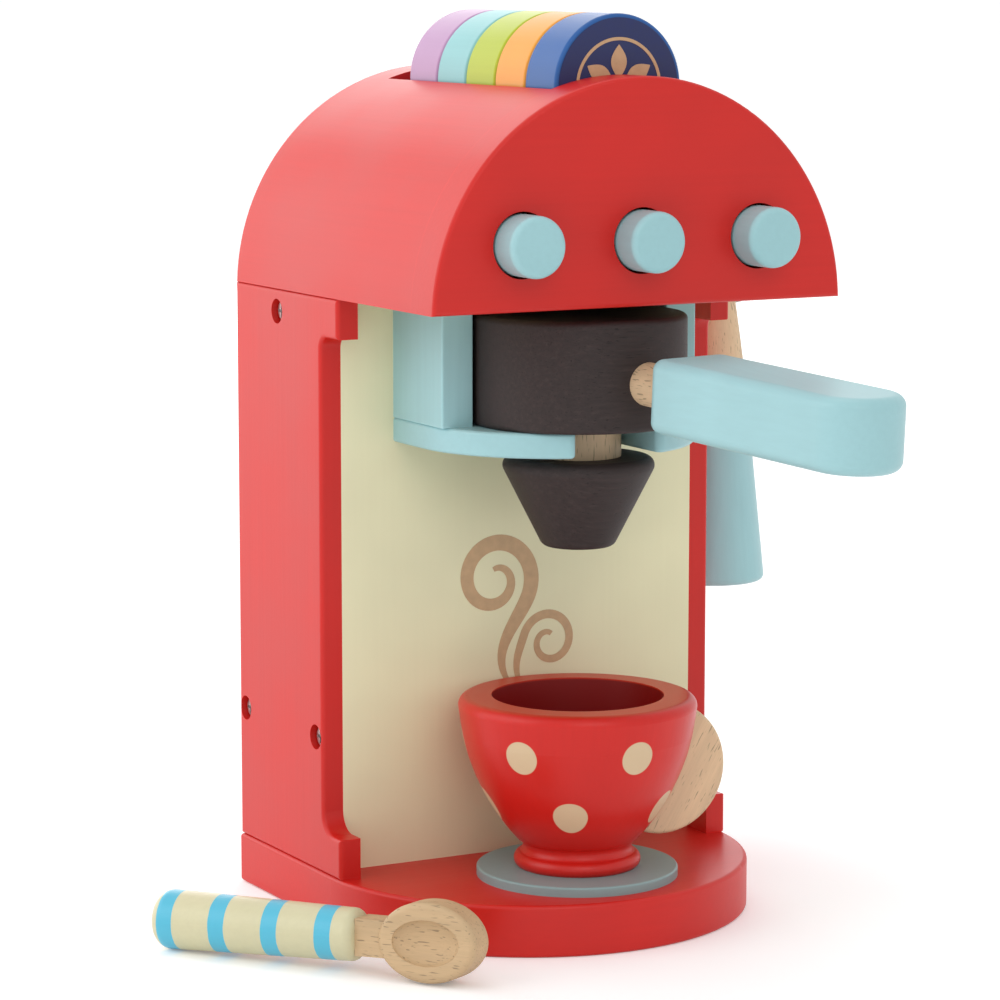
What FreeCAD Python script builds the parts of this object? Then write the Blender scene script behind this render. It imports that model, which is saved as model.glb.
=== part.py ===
"""Wooden toy coffee maker with cup, capsules and spoon, in millimetres.

X runs to the right, the front of the machine faces -Y and Z is up. The origin
lies on the underside of the base, midway between its back and front edges.
"""
import FreeCAD, Part

import os
from math import acos, atan2, cos, degrees, hypot, radians, sin

from FreeCAD import Matrix, Rotation, Vector

# Main sizes of the machine
WIDTH = 130.0
DEPTH = 127.4
BASE_HEIGHT = 15.0
BODY_HEIGHT = 167.8
SIDE_BOARD = 6.6

HALF = WIDTH / 2
BACK = DEPTH / 2
FRONT = -DEPTH / 2
HOOD_BOTTOM = BASE_HEIGHT + BODY_HEIGHT

# Nearness within which an edge is taken to lie on a plane
NEAR = 0.1

# Clearances between pieces that move and what they pass
SIDE_GAP = 0.3
RUNNING_GAP = 0.05
SLOT_GAP = 0.7

# Side boards: a narrow upright with a short step forward at its foot and top
CUP_ROOM = 70.2
UPRIGHT_DEPTH = DEPTH - CUP_ROOM
STEP_DEPTH = UPRIGHT_DEPTH + 11.3
FOOT_STEP_TOP = BASE_HEIGHT + 11.9
TOP_STEP_HEIGHT = 11.6
FOOT_FILLET = 6.0
TOP_FILLET = 3.5
EDGE_ROUND = 1.2

# Boards between the sides
COLUMN_BOARD = 9.0
CROSS_BOARD = 13.2
CROSS_BOARD_DEPTH = UPRIGHT_DEPTH - 2 * COLUMN_BOARD

# Hood: an arch between a front board and a back board
HOOD_BOARD = 13.5
ARCH_THICKNESS = 8.0
ARCH_DROP = 1.8
HOOD_BACK_BOARD = 8.0
HOOD_FLOOR = 6.6
ARCH_AXIS_Z = HOOD_BOTTOM - ARCH_DROP
HOOD_BOARD_BACK = DEPTH - HOOD_BOARD

# Capsules in a slot in the top of the hood, with a free pocket behind them
POD_NAMES = ("pod_lilac", "pod_aqua", "pod_lime", "pod_orange", "pod_blue")
POD_RADIUS = 20.1
POD_SPACING = 0.3
POD_ROUND = 0.9
POD_SUNK_IN_ARCH = 3.3
POD_AXIS_Z = ARCH_AXIS_Z + HALF - POD_SUNK_IN_ARCH
POD_POCKET = 11.1
SLOT_SIDE_ROOM = 1.4
SLOT_HALF_WIDTH = POD_RADIUS + SLOT_SIDE_ROOM
SLOT_BACK_DEPTH = 14.8
POD_ROW = HOOD_BOARD_BACK - SLOT_BACK_DEPTH - POD_POCKET
POD_LENGTH = POD_ROW / len(POD_NAMES) - POD_SPACING
TRAY_WALL = 5.0

# Push buttons in the hood front
BUTTON_RADIUS = 8.5
BUTTON_PITCH = 0.5785 * HALF
BUTTON_XS = {"left": -BUTTON_PITCH, "centre": 0.0, "right": BUTTON_PITCH}
BUTTON_Z = HOOD_BOTTOM + 0.28 * HALF
BUTTON_REACH = 9.4
BUTTON_ROUND = 1.7
FLANGE_RADIUS = 11.0
FLANGE_THICKNESS = 3.0
SPRING_LENGTH = 9.0
SPRING_RADIUS = 4.0
SPRING_WALL = 1.0
RAIL_THICKNESS = 6.0
RAIL_HEIGHT = 24.0

# Filter holder: forked plate, two guide blocks, drum, stem, spout and handle
BREW_REACH = 34.8
BREW_DEPTH = UPRIGHT_DEPTH + BREW_REACH
DRUM_HEIGHT = 31.4
DRUM_HEADROOM = 4.5
PLATE_TOP = HOOD_BOTTOM - DRUM_HEADROOM - DRUM_HEIGHT
PLATE_THICKNESS = 7.2
DRUM_RADIUS = 30.9
GUIDE_WIDTH = 10.0
PLATE_HALF_WIDTH = DRUM_RADIUS + SLOT_GAP + GUIDE_WIDTH
PLATE_ROUND_DEPTH = BREW_DEPTH - 16.5
PLATE_EDGE_ROUND = 1.0
PRONG_ROUND = 2.0
DRUM_ROUND = 1.6
GUIDE_DEPTH = 30.3
GUIDE_EDGE_ROUND = 0.6
STEM_RADIUS = 12.2
STEM_IN_DRUM = 16.0
STEM_IN_SPOUT = 12.0
SPOUT_DROP = 2.4
SPOUT_TOP = PLATE_TOP - PLATE_THICKNESS - SPOUT_DROP
SPOUT_HEIGHT = 26.0
SPOUT_TOP_RADIUS = 23.4
SPOUT_END_RADIUS = 10.2
SPOUT_ROUND = 2.6
PEG_RADIUS = 6.1
PEG_AXIS_ABOVE_PLATE = 15.3
HANDLE_TURN = 9.0
HANDLE_DROOP = 3.1
HANDLE_START = 46.2
HANDLE_LENGTH = 82.0
HANDLE_WIDTH = 26.8
HANDLE_HEIGHT = 20.6
HANDLE_CORNER_ROUND = 4.0
HANDLE_RIM_ROUND = 3.2
PEG_GRIP = 15.0

# Steam wand hung beside the right side board
WAND_X = HALF + 19.0
WAND_DEPTH = UPRIGHT_DEPTH / 2
WAND_PIVOT_Z = HOOD_BOTTOM - CROSS_BOARD / 2
WAND_SPLIT_Z = WAND_PIVOT_Z - 36.2
WAND_END_Z = WAND_SPLIT_Z - 54.4
WAND_GAP = 1.6
WAND_HEAD_RADIUS = 6.3
WAND_HEAD_RISE = 6.6
WAND_NECK_MIDDLE = (9.0, WAND_SPLIT_Z + 17.5)
WAND_SPLIT_RADIUS = 11.1
WAND_BELL_MIDDLE = (14.2, WAND_END_Z + 23.4)
WAND_END_RADIUS = 16.4
WAND_END_ROUND = 1.8
WAND_TENON_RADIUS = 5.0
WAND_TENON = 14.0
PIN_RADIUS = 2.4
PIN_HEAD_RADIUS = 4.4
PIN_HEAD = 2.2
PIN_HEAD_ROUND = 1.4
BOSS_RADIUS = 6.0
BOSS_DEPTH = 10.0

# Cup on its coaster, both on the axis of the filter drum
COASTER_RADIUS = 29.2
COASTER_THICKNESS = 2.8
COASTER_ROUND = 0.6
COASTER_TOP = BASE_HEIGHT + COASTER_THICKNESS
CUP_HEIGHT = 50.0
CUP_FOOT_RADIUS = 18.4
CUP_FOOT_MIDDLE = 1.8
CUP_FOOT_ROUND = 1.0
CUP_ANKLE = (16.6, 4.2)
CUP_WAIST = (15.8, 5.8)
CUP_CALF = (17.4, 8.0)
CUP_BELLY = (27.6, 22.7)
CUP_SHOULDER = (33.3, 38.8)
CUP_RIM_RADIUS = BREW_REACH - SIDE_GAP
CUP_RIM_ROUND = 3.0
CUP_MOUTH_RADIUS = 24.9
CUP_FLOOR = 17.0
CUP_FLOOR_RADIUS = 11.5
CUP_FLOOR_BEND = (20.0, 20.8)
CUP_WALL_FOOT = (23.4, 29.0)
GRIP_RADIUS = 19.5
GRIP_REACH = 26.2
GRIP_ABOVE_COASTER = 26.6
GRIP_THICKNESS = 8.0
GRIP_ROUND = 1.2
GRIP_TURN = -5.0
GRIP_HOUSING = 5.0

# Spoon lying in front of the machine's left corner
SPOON_END = (-116.7, 5.2)
SPOON_HEADING = -53.5
SPOON_ROLL = 85.0
SPOON_HANDLE_LENGTH = 64.0
SPOON_HANDLE_RADIUS = 8.5
SPOON_HANDLE_NECK_RADIUS = 7.4
SPOON_BUTT_ROUND = 4.5
SPOON_NECK_ROUND = 2.6
SPOON_NECK_LENGTH = 7.2
SPOON_NECK_WIDTH = 10.4
SPOON_NECK_THICKNESS = 8.4
SPOON_BOWL_LENGTH = 29.8
SPOON_BOWL_WIDTH = 22.4
SPOON_BOWL_ROUND = 1.8
SPOON_THICKNESS = 10.4
SPOON_HOLLOW_DEPTH = 3.4
SPOON_HOLLOW_LENGTH = 20.4
SPOON_HOLLOW_WIDTH = 12.8
SPOON_BOWL_X = SPOON_HANDLE_LENGTH + SPOON_NECK_LENGTH + SPOON_BOWL_LENGTH / 2
SPOON_TENON_RADIUS = 3.5
SPOON_TENON = 14.0

# Screws
COUNTERBORE_RADIUS = 3.65
COUNTERBORE_DEPTH = 3.4
SCREW_HEAD_RADIUS = 3.1
SCREW_HEAD = 1.8
SCREW_SHANK_RADIUS = 1.6
SCREW_HEAD_ROUND = 0.8
SCREW_CROSS_WIDTH = 0.9
SCREW_CROSS_DEPTH = 1.0
SCREW_SINK = COUNTERBORE_DEPTH - SCREW_HEAD
SIDE_SCREW_LENGTH = 15.0
SIDE_SCREW_Z = BASE_HEIGHT + 39.4
BASE_SCREW_LENGTH = 30.0
BASE_SCREW_X = HALF - 27.0
HOOD_SCREW_LENGTH = 19.0
HOOD_SCREW_X = HALF - 35.0

X_AXIS = Vector(1, 0, 0)
Y_AXIS = Vector(0, 1, 0)
Z_AXIS = Vector(0, 0, 1)


def y_at(depth):
    """Y of a plane that lies this far forward of the machine's back."""
    return BACK - depth


def block(x_range, y_range, z_range):
    """Box between two X, two Y and two Z values."""
    size = [abs(pair[1] - pair[0]) for pair in (x_range, y_range, z_range)]
    corner = Vector(min(x_range), min(y_range), min(z_range))
    return Part.makeBox(size[0], size[1], size[2], corner)


def rod(radius, start, direction, length):
    """Cylinder that starts at a point and runs along a direction."""
    return Part.makeCylinder(radius, length, start, direction)


def turned(profile, centre):
    """Solid of revolution about the vertical through centre, from (radius, z) edges."""
    face = Part.Face(Part.Wire(profile))
    solid = face.revolve(Vector(0, 0, 0), Z_AXIS, 360)
    solid.translate(centre)
    return solid


def at(radius, z):
    """Point of a turning profile."""
    return Vector(radius, 0, z)


def line(start, end):
    return Part.makeLine(start, end)


def arc(start, middle, end):
    return Part.Arc(start, middle, end).toShape()


def round_edges(shape):
    """Edges of a shape that are circles."""
    return [e for e in shape.Edges if e.Curve.TypeId == "Part::GeomCircle"]


def rounded_disc(radius, thickness, edge, start, direction):
    """Disc with both rims rounded."""
    disc = rod(radius, start, direction, thickness)
    return disc.makeFillet(edge, round_edges(disc))


def edges_where(shape, test):
    """Edges of a shape whose middle point passes a test."""
    return [e for e in shape.Edges if test(e.CenterOfMass)]


def outline_prism(wire, offset):
    """Solid swept from a flat closed wire along a vector."""
    return Part.Face(wire).extrude(offset)


def wood_screw(head_centre, inward, length):
    """Cross-head screw; head_centre lies on the head's outer face."""
    head = rod(SCREW_HEAD_RADIUS, head_centre, inward, SCREW_HEAD)
    rim = edges_where(head, lambda p: (p - head_centre).Length < NEAR)
    head = head.makeFillet(SCREW_HEAD_ROUND, rim)
    shank = rod(SCREW_SHANK_RADIUS, head_centre, inward, length)
    screw = head.fuse(shank)
    side = inward.cross(Z_AXIS if abs(inward.z) < 0.5 else X_AXIS)
    reach = SCREW_HEAD_RADIUS * 0.65
    for across in (side, inward.cross(side)):
        along = inward.cross(across)
        cut = Part.makeBox(2 * reach, SCREW_CROSS_WIDTH, SCREW_CROSS_DEPTH)
        cut.translate(Vector(-reach, -SCREW_CROSS_WIDTH / 2, 0))
        turn = Matrix(across.x, along.x, inward.x, head_centre.x,
                      across.y, along.y, inward.y, head_centre.y,
                      across.z, along.z, inward.z, head_centre.z, 0, 0, 0, 1)
        screw = screw.cut(cut.transformGeometry(turn))
    return screw


# Base and coaster
def base_outline(z):
    """Base plan: square at the back, half round at the front."""
    shoulder = FRONT + HALF
    corners = [Vector(-HALF, shoulder, z), Vector(-HALF, BACK, z), Vector(HALF, BACK, z),
               Vector(HALF, shoulder, z)]
    sides = [line(a, b) for a, b in zip(corners, corners[1:])]
    return Part.Wire(sides + [arc(corners[3], Vector(0, FRONT, z), corners[0])])


def base_screw_places():
    """Underside places of the screws that hold the front and back boards."""
    depths = (COLUMN_BOARD / 2, UPRIGHT_DEPTH - COLUMN_BOARD / 2)
    return [Vector(x, y_at(depth), 0) for depth in depths
            for x in (-BASE_SCREW_X, BASE_SCREW_X)]


def make_base():
    solid = outline_prism(base_outline(0), Vector(0, 0, BASE_HEIGHT))
    rim = edges_where(solid, lambda p: p.z < NEAR or p.z > BASE_HEIGHT - NEAR)
    solid = solid.makeFillet(EDGE_ROUND, rim)
    for place in base_screw_places():
        solid = solid.cut(rod(COUNTERBORE_RADIUS, place, Z_AXIS, COUNTERBORE_DEPTH))
        solid = solid.cut(rod(SCREW_SHANK_RADIUS, place, Z_AXIS, BASE_HEIGHT))
    return solid


def make_coaster():
    centre = Vector(0, y_at(BREW_DEPTH), BASE_HEIGHT)
    solid = rod(COASTER_RADIUS, centre, Z_AXIS, COASTER_THICKNESS)
    top = edges_where(solid, lambda p: p.z > COASTER_TOP - NEAR)
    return solid.makeFillet(COASTER_ROUND, top)


# Side boards
def side_outline(x):
    """Stepped outline of a side board in the plane at x."""
    def p(depth, z):
        return Vector(x, y_at(depth), z)
    foot, neck, top = STEP_DEPTH, UPRIGHT_DEPTH, HOOD_BOTTOM - TOP_STEP_HEIGHT
    corner = 1 - 1 / 2 ** 0.5
    low, high = FOOT_FILLET, TOP_FILLET
    return Part.Wire([
        line(p(0, BASE_HEIGHT), p(foot, BASE_HEIGHT)),
        line(p(foot, BASE_HEIGHT), p(foot, FOOT_STEP_TOP)),
        line(p(foot, FOOT_STEP_TOP), p(neck + low, FOOT_STEP_TOP)),
        arc(p(neck + low, FOOT_STEP_TOP),
            p(neck + low * corner, FOOT_STEP_TOP + low * corner),
            p(neck, FOOT_STEP_TOP + low)),
        line(p(neck, FOOT_STEP_TOP + low), p(neck, top - high)),
        arc(p(neck, top - high), p(neck + high * corner, top - high * corner),
            p(neck + high, top)),
        line(p(neck + high, top), p(foot, top)),
        line(p(foot, top), p(foot, HOOD_BOTTOM)),
        line(p(foot, HOOD_BOTTOM), p(0, HOOD_BOTTOM)),
        line(p(0, HOOD_BOTTOM), p(0, BASE_HEIGHT)),
    ])


def side_screw_places(side):
    """Head-side places of the screws in one side board, (depth, z)."""
    low = [(COLUMN_BOARD / 2, SIDE_SCREW_Z), (UPRIGHT_DEPTH - COLUMN_BOARD / 2, SIDE_SCREW_Z)]
    top = [(WAND_DEPTH, WAND_PIVOT_Z)] if side < 0 else []
    return [Vector(side * HALF, y_at(depth), z) for depth, z in low + top]


def make_side(side):
    """Side board; side is -1 for the left one and 1 for the right one."""
    inward = Vector(-side, 0, 0)
    solid = outline_prism(side_outline(side * HALF), inward * SIDE_BOARD)
    outer = edges_where(solid, lambda p: abs(p.x - side * HALF) < NEAR)
    solid = solid.makeFillet(EDGE_ROUND, outer)
    for place in side_screw_places(side):
        solid = solid.cut(rod(COUNTERBORE_RADIUS, place, inward, COUNTERBORE_DEPTH))
        solid = solid.cut(rod(SCREW_SHANK_RADIUS, place, inward, SIDE_BOARD))
    if side > 0:
        pivot = Vector(side * HALF, y_at(WAND_DEPTH), WAND_PIVOT_Z)
        solid = solid.cut(rod(BOSS_RADIUS, pivot, inward, SIDE_BOARD))
    return solid


# Boards of the column
def drilled_for_screws(board):
    """Board with the shank holes of the base and side screws."""
    base_reach = SCREW_SINK + BASE_SCREW_LENGTH
    side_reach = SCREW_SINK + SIDE_SCREW_LENGTH
    for place in base_screw_places():
        board = board.cut(rod(SCREW_SHANK_RADIUS, place, Z_AXIS, base_reach))
    for side in (-1, 1):
        for place in side_screw_places(side):
            inward = Vector(-side, 0, 0)
            board = board.cut(rod(SCREW_SHANK_RADIUS, place, inward, side_reach))
    return board


def make_column_board(near_depth, far_depth):
    inner = HALF - SIDE_BOARD
    board = block((-inner, inner), (y_at(near_depth), y_at(far_depth)),
                  (BASE_HEIGHT, HOOD_BOTTOM))
    return drilled_for_screws(board)


def hood_screw_places():
    """Places under the cross board of the screws that hold the hood."""
    bottom = HOOD_BOTTOM - CROSS_BOARD - SCREW_HEAD
    return [Vector(x, y_at(WAND_DEPTH), bottom) for x in (-HOOD_SCREW_X, HOOD_SCREW_X)]


def make_cross_board():
    """Board across the top of the column, screwed up into the hood."""
    inner = HALF - SIDE_BOARD
    board = block((-inner, inner), (y_at(COLUMN_BOARD), y_at(COLUMN_BOARD + CROSS_BOARD_DEPTH)),
                  (HOOD_BOTTOM - CROSS_BOARD, HOOD_BOTTOM))
    board = drilled_for_screws(board)
    for place in hood_screw_places():
        board = board.cut(rod(SCREW_SHANK_RADIUS, place, Z_AXIS, SCREW_HEAD + CROSS_BOARD))
    return board.cut(wand_boss())


# Hood
def half_disc(radius, near_depth, far_depth):
    """Part of a disc of the hood's arch above the hood's underside."""
    centre = Vector(0, y_at(near_depth), ARCH_AXIS_Z)
    disc = rod(radius, centre, -Y_AXIS, far_depth - near_depth)
    low = block((-WIDTH, WIDTH), (y_at(near_depth - 1), y_at(far_depth + 1)),
                (ARCH_AXIS_Z - WIDTH, HOOD_BOTTOM))
    return disc.cut(low)


def pod_slot():
    """Space of the capsule slot, from the tray's floor up through the arch."""
    return block((-SLOT_HALF_WIDTH, SLOT_HALF_WIDTH),
                 (y_at(SLOT_BACK_DEPTH), y_at(HOOD_BOARD_BACK)),
                 (POD_AXIS_Z - POD_RADIUS - SIDE_GAP, ARCH_AXIS_Z + HALF + 1))


def make_hood_front():
    board = half_disc(HALF, HOOD_BOARD_BACK, DEPTH)
    face = edges_where(board, lambda p: p.y < FRONT + NEAR)
    board = board.makeFillet(EDGE_ROUND, face)
    for x in BUTTON_XS.values():
        hole = Vector(x, y_at(HOOD_BOARD_BACK - 1), BUTTON_Z)
        board = board.cut(rod(BUTTON_RADIUS + SLOT_GAP, hole, -Y_AXIS, HOOD_BOARD + 2))
    return board


def make_hood_arch():
    shell = half_disc(HALF, 0, HOOD_BOARD_BACK)
    rim = edges_where(shell, lambda p: p.y > BACK - NEAR and p.z > HOOD_BOTTOM + 1)
    shell = shell.makeFillet(EDGE_ROUND, rim)
    return shell.cut(half_disc(HALF - ARCH_THICKNESS, 0, HOOD_BOARD_BACK)).cut(pod_slot())


def make_hood_back():
    return half_disc(HALF - ARCH_THICKNESS, 0, HOOD_BACK_BOARD)


def make_hood_floor():
    """Floor of the hood, between the two boards and inside the arch."""
    inside = half_disc(HALF - ARCH_THICKNESS, HOOD_BACK_BOARD, HOOD_BOARD_BACK)
    slab = block((-HALF, HALF), (BACK, FRONT), (HOOD_BOTTOM, HOOD_BOTTOM + HOOD_FLOOR))
    floor = inside.common(slab)
    for place in hood_screw_places():
        floor = floor.cut(rod(SCREW_SHANK_RADIUS, place, Z_AXIS, HOOD_SCREW_LENGTH))
    return floor


def make_pod_tray():
    """Open trough under the slot that the capsules stand in."""
    inside = half_disc(HALF - ARCH_THICKNESS, HOOD_BACK_BOARD, HOOD_BOARD_BACK)
    outer_half = SLOT_HALF_WIDTH + TRAY_WALL
    floor = POD_AXIS_Z - POD_RADIUS - SIDE_GAP
    trough = block((-outer_half, outer_half), (BACK, FRONT), (floor - TRAY_WALL, POD_AXIS_Z))
    return inside.common(trough).cut(pod_slot())


def make_button_rail():
    """Rail behind the buttons that their springs push against."""
    near = HOOD_BOARD_BACK - FLANGE_THICKNESS - SPRING_LENGTH - RAIL_THICKNESS
    bottom = HOOD_BOTTOM + HOOD_FLOOR
    inside = half_disc(HALF - ARCH_THICKNESS, near, near + RAIL_THICKNESS)
    slab = block((-HALF, HALF), (BACK, FRONT), (bottom, bottom + RAIL_HEIGHT))
    return inside.common(slab)


# Push buttons
def make_button(x):
    """Round button with a flange behind the hood front."""
    axis = Vector(x, y_at(HOOD_BOARD_BACK), BUTTON_Z)
    cap = rod(BUTTON_RADIUS, axis, -Y_AXIS, HOOD_BOARD + BUTTON_REACH)
    cap = cap.makeFillet(BUTTON_ROUND, edges_where(cap, lambda p: p.y < FRONT - 1))
    flange = rod(FLANGE_RADIUS, axis, Y_AXIS, FLANGE_THICKNESS)
    return cap.fuse(flange).removeSplitter()


def make_spring(x):
    """Plain sleeve in the place of a button's hidden return spring."""
    start = Vector(x, y_at(HOOD_BOARD_BACK - FLANGE_THICKNESS), BUTTON_Z)
    sleeve = rod(SPRING_RADIUS, start, Y_AXIS, SPRING_LENGTH)
    return sleeve.cut(rod(SPRING_RADIUS - SPRING_WALL, start, Y_AXIS, SPRING_LENGTH))


# Filter holder
def make_guide_block(side):
    inner = DRUM_RADIUS + SLOT_GAP
    solid = block((side * inner, side * PLATE_HALF_WIDTH),
                  (y_at(UPRIGHT_DEPTH), y_at(UPRIGHT_DEPTH + GUIDE_DEPTH)),
                  (PLATE_TOP, HOOD_BOTTOM))
    front = y_at(UPRIGHT_DEPTH + GUIDE_DEPTH)
    uprights = edges_where(solid, lambda p: abs(p.y - front) < NEAR and
                           PLATE_TOP + 1 < p.z < HOOD_BOTTOM - 1)
    return solid.makeFillet(GUIDE_EDGE_ROUND, uprights)


def make_fork_plate():
    """Shelf with a round front and a slot that the stem slides into."""
    half, slot = PLATE_HALF_WIDTH, STEM_RADIUS + SLOT_GAP
    bottom = PLATE_TOP - PLATE_THICKNESS
    back, middle = y_at(UPRIGHT_DEPTH), y_at(BREW_DEPTH)
    round_centre = y_at(PLATE_ROUND_DEPTH)
    prong_y = round_centre - (half ** 2 - slot ** 2) ** 0.5

    def p(x, y):
        return Vector(x, y, bottom)

    def front_arc(side):
        """Rounded front between a straight side and the tip of a prong."""
        turn = acos(slot / half) / 2
        bulge = p(side * half * cos(turn), round_centre - half * sin(turn))
        ends = [p(side * half, round_centre), p(side * slot, prong_y)]
        return arc(ends[0], bulge, ends[1]) if side > 0 else arc(ends[1], bulge, ends[0])

    outline = Part.Wire([
        line(p(-half, round_centre), p(-half, back)),
        line(p(-half, back), p(half, back)),
        line(p(half, back), p(half, round_centre)),
        front_arc(1),
        line(p(slot, prong_y), p(slot, middle)),
        arc(p(slot, middle), p(0, middle + slot), p(-slot, middle)),
        line(p(-slot, middle), p(-slot, prong_y)),
        front_arc(-1),
    ])
    plate = outline_prism(outline, Vector(0, 0, PLATE_THICKNESS))
    tips = [e for e in plate.Edges if len(e.Vertexes) == 2 and
            all(abs(v.Point.y - prong_y) < NEAR for v in e.Vertexes)]
    plate = plate.makeFillet(PRONG_ROUND, tips)
    lower = edges_where(plate, lambda q: abs(q.z - bottom) < NEAR and q.y < back - 1)
    upper = edges_where(plate, lambda q: abs(q.z - PLATE_TOP) < NEAR and q.y < back - 1
                        and hypot(q.x, q.y - middle) > STEM_RADIUS + 4)
    return plate.makeFillet(PLATE_EDGE_ROUND, lower + upper)


def brew_point(z):
    """Point at height z on the axis of the drum, the spout and the cup."""
    return Vector(0, y_at(BREW_DEPTH), z)


def handle_frame():
    """Start point and direction of the handle's axis: turned right and drooping."""
    turn, droop = radians(HANDLE_TURN), radians(HANDLE_DROOP)
    direction = Vector(sin(turn) * cos(droop), -cos(turn) * cos(droop), -sin(droop))
    return brew_point(PLATE_TOP + PEG_AXIS_ABOVE_PLATE), direction


def handle_peg(radius):
    """Dowel that joins the drum to the handle, from inside one to inside the other."""
    start, direction = handle_frame()
    first = DRUM_RADIUS - PEG_GRIP
    return rod(radius, start + direction * first, direction, HANDLE_START + PEG_GRIP - first)


def make_drum():
    drum = rod(DRUM_RADIUS, brew_point(PLATE_TOP), Z_AXIS, DRUM_HEIGHT)
    drum = drum.makeFillet(DRUM_ROUND, round_edges(drum))
    bore = rod(STEM_RADIUS + RUNNING_GAP, brew_point(PLATE_TOP - 1), Z_AXIS,
               STEM_IN_DRUM + 1 + RUNNING_GAP)
    return drum.cut(bore).cut(handle_peg(PEG_RADIUS))


def make_stem():
    bottom = SPOUT_TOP - STEM_IN_SPOUT
    return rod(STEM_RADIUS, brew_point(bottom), Z_AXIS, PLATE_TOP + STEM_IN_DRUM - bottom)


def make_spout():
    """Cone under the plate, narrow end down, with rounded rims."""
    cone = Part.makeCone(SPOUT_END_RADIUS, SPOUT_TOP_RADIUS, SPOUT_HEIGHT,
                         brew_point(SPOUT_TOP - SPOUT_HEIGHT), Z_AXIS)
    cone = cone.makeFillet(SPOUT_ROUND, round_edges(cone))
    bore = rod(STEM_RADIUS, brew_point(SPOUT_TOP - STEM_IN_SPOUT), Z_AXIS, STEM_IN_SPOUT)
    return cone.cut(bore)


def make_handle():
    """Flat bar with a round outer end and all its edges eased."""
    start, direction = handle_frame()
    across = Vector(cos(radians(HANDLE_TURN)), sin(radians(HANDLE_TURN)), 0)
    upward = across.cross(direction)
    half = HANDLE_WIDTH / 2
    lower = start - upward * (HANDLE_HEIGHT / 2)

    def p(along, side):
        return lower + direction * along + across * side

    end = HANDLE_START + HANDLE_LENGTH
    outline = Part.Wire([
        line(p(end - half, -half), p(HANDLE_START, -half)),
        line(p(HANDLE_START, -half), p(HANDLE_START, half)),
        line(p(HANDLE_START, half), p(end - half, half)),
        arc(p(end - half, half), p(end, 0), p(end - half, -half)),
    ])
    bar = outline_prism(outline, upward * HANDLE_HEIGHT)
    corners = [e for e in bar.Edges if len(e.Vertexes) == 2 and
               (e.Vertexes[0].Point - e.Vertexes[1].Point).cross(upward).Length < 0.01
               and (e.CenterOfMass - start).dot(direction) < HANDLE_START + 1]
    bar = bar.makeFillet(HANDLE_CORNER_ROUND, corners)
    rims = [e for e in bar.Edges if abs(abs((e.CenterOfMass - start).dot(upward))
                                        - HANDLE_HEIGHT / 2) < 0.01]
    return bar.makeFillet(HANDLE_RIM_ROUND, rims).cut(handle_peg(PEG_RADIUS))


# Steam wand
def wand_pivot(x):
    return Vector(x, y_at(WAND_DEPTH), WAND_PIVOT_Z)


def wand_boss():
    """Short dowel let into the side board, with a hole for the pivot pin."""
    start = wand_pivot(HALF - BOSS_DEPTH)
    length = WAND_X - WAND_HEAD_RADIUS - WAND_GAP - start.x
    return rod(BOSS_RADIUS, start, X_AXIS, length)


def make_wand_boss():
    return wand_boss().cut(rod(PIN_RADIUS, wand_pivot(HALF - BOSS_DEPTH), X_AXIS, WAND_X))


def make_wand_pin():
    """Pivot screw: a plain shank with a domed head outside the wand."""
    head_start = WAND_X + WAND_HEAD_RADIUS + WAND_GAP
    start = wand_pivot(HALF - BOSS_DEPTH)
    shank = rod(PIN_RADIUS, start, X_AXIS, head_start - start.x)
    head = rod(PIN_HEAD_RADIUS, wand_pivot(head_start), X_AXIS, PIN_HEAD)
    rim = edges_where(head, lambda p: p.x > head_start + PIN_HEAD - NEAR)
    head = head.makeFillet(PIN_HEAD_ROUND, rim)
    return shank.fuse(head).removeSplitter()


def make_wand_neck():
    """Upper, bare part of the wand, with a domed top and a tenon below."""
    top = WAND_PIVOT_Z + WAND_HEAD_RISE
    flat = WAND_HEAD_RADIUS / 4
    tenon_end = WAND_SPLIT_Z - WAND_TENON
    head = at(WAND_HEAD_RADIUS, WAND_PIVOT_Z)
    dome = at(WAND_HEAD_RADIUS * 0.8, WAND_PIVOT_Z + WAND_HEAD_RISE * 0.7)
    profile = [
        line(at(0, tenon_end), at(WAND_TENON_RADIUS, tenon_end)),
        line(at(WAND_TENON_RADIUS, tenon_end), at(WAND_TENON_RADIUS, WAND_SPLIT_Z)),
        line(at(WAND_TENON_RADIUS, WAND_SPLIT_Z), at(WAND_SPLIT_RADIUS, WAND_SPLIT_Z)),
        arc(at(WAND_SPLIT_RADIUS, WAND_SPLIT_Z), at(*WAND_NECK_MIDDLE), head),
        arc(head, dome, at(flat, top)),
        line(at(flat, top), at(0, top)),
        line(at(0, top), at(0, tenon_end)),
    ]
    neck = turned(profile, Vector(WAND_X, y_at(WAND_DEPTH), 0))
    hole = rod(PIN_RADIUS + RUNNING_GAP, wand_pivot(HALF), X_AXIS, WAND_X)
    return neck.cut(hole)


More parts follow.
